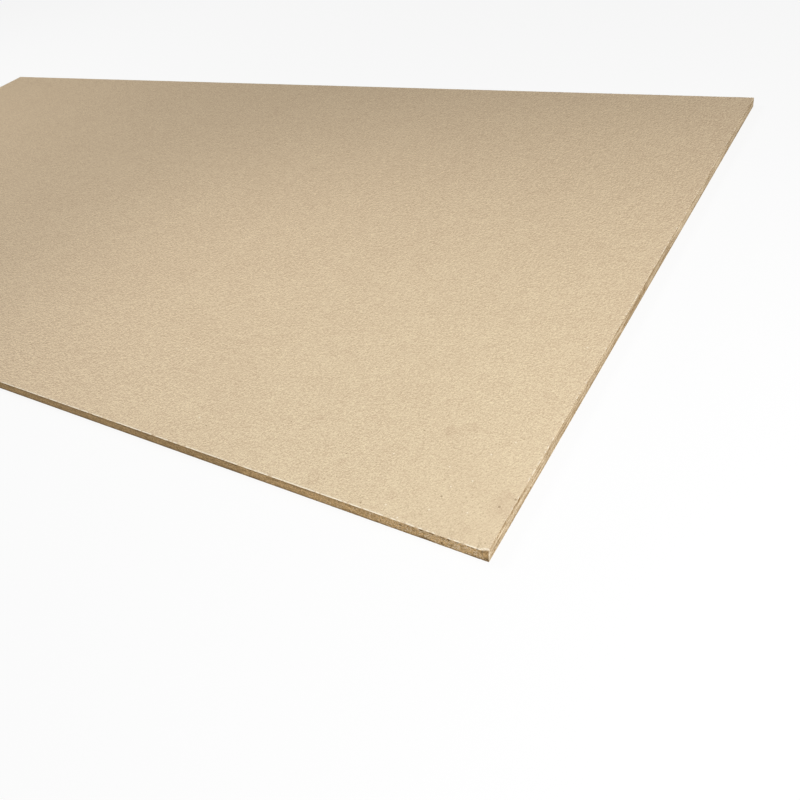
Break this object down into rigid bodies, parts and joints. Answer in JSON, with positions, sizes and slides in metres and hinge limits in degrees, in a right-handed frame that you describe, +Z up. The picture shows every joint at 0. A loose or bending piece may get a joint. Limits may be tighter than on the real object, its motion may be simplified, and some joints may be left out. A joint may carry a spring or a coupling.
{
  "type": "medium-density fibreboard sheet",
  "caption": "Flat rectangular sheet of wood fibreboard with square sawn edges and one knocked corner, used as panel stock for building and joinery.",
  "frame": {"origin": "centre of the underside, on the plane the sheet lies on", "axes": "+X along the sheet's length, +Y across its width, +Z up through its thickness; the knocked corner is at +X, -Y"},
  "size_m": [2.44, 1.22, 0.018],
  "materials": {
    "fibreboard": "matte"
  },
  "bodies": {
    "root": {"fibreboard_sheet": "fibreboard"}
  },
  "joints": []
}
